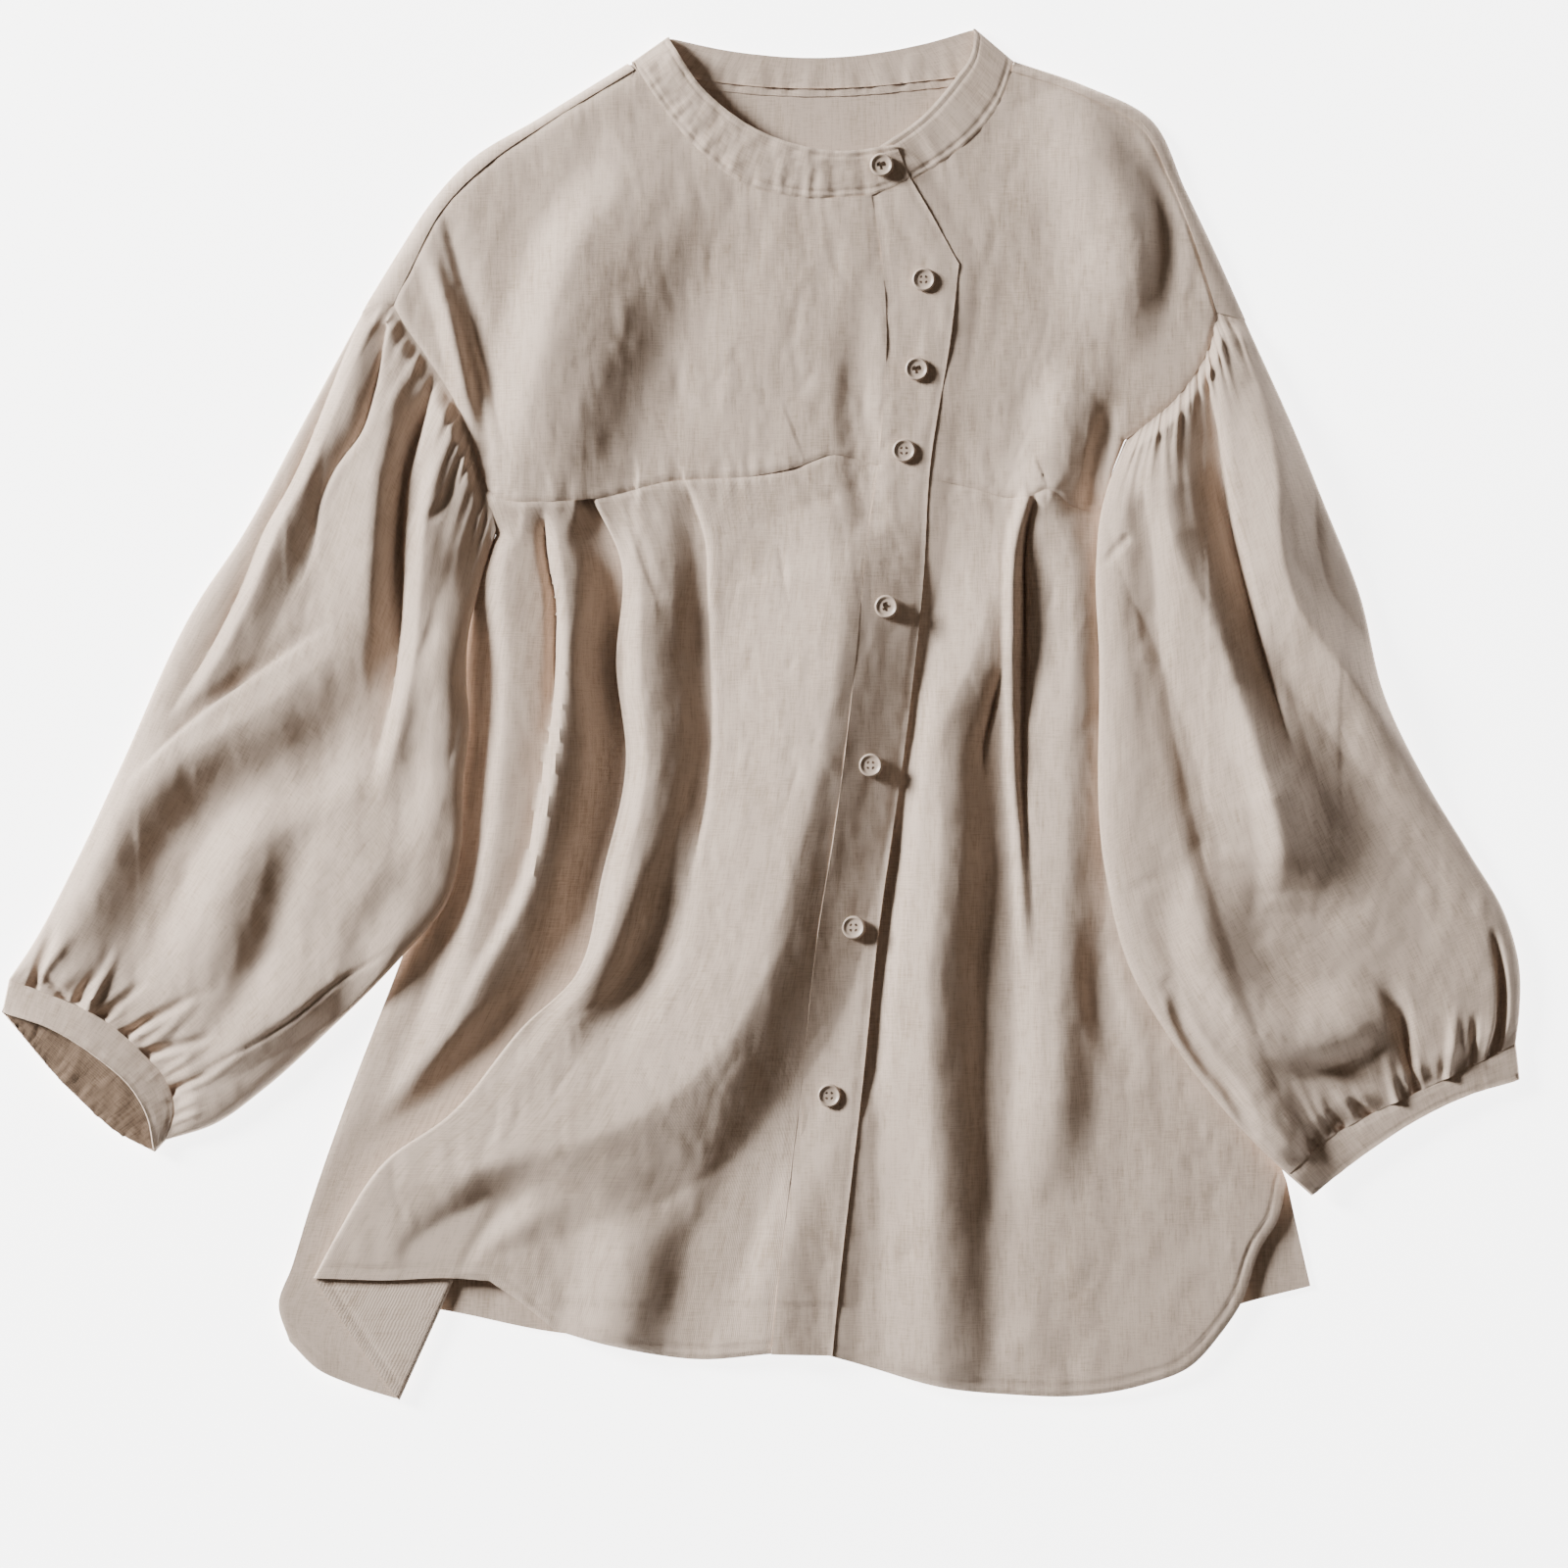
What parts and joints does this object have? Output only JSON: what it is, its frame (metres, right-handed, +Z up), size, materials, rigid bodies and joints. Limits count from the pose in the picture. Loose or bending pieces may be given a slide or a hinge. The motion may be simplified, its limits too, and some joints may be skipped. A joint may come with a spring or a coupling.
{
  "type": "button-down shirt",
  "caption": "Collarless linen button-down shirt with a narrow standing band, yoked and pleated fronts and full lantern sleeves, worn on the upper body, laid flat on its back.",
  "frame": {"origin": "on the surface it lies on, below the middle of its bounding box", "axes": "+X across the shirt towards the wearer's left sleeve, +Y towards the collar, +Z up out of the surface"},
  "size_m": [0.7753, 0.6994, 0.0259],
  "materials": {
    "linen": "plain-woven greige linen, washed and softly creased",
    "button": "semi-gloss, dyed to match the cloth"
  },
  "bodies": {
    "root": {"back": "linen", "collar_band": "linen", "front_yoke_right": "linen", "front_yoke_left": "linen", "front_skirt_right": "linen", "front_skirt_left": "linen", "placket_top": "linen", "placket_under": "linen", "sleeve_right": "linen", "sleeve_left": "linen", "cuff_right": "linen", "cuff_left": "linen", "button_1": "button", "button_2": "button", "button_3": "button", "button_4": "button", "button_5": "button", "button_6": "button", "button_7": "button", "button_8": "button"}
  },
  "joints": []
}
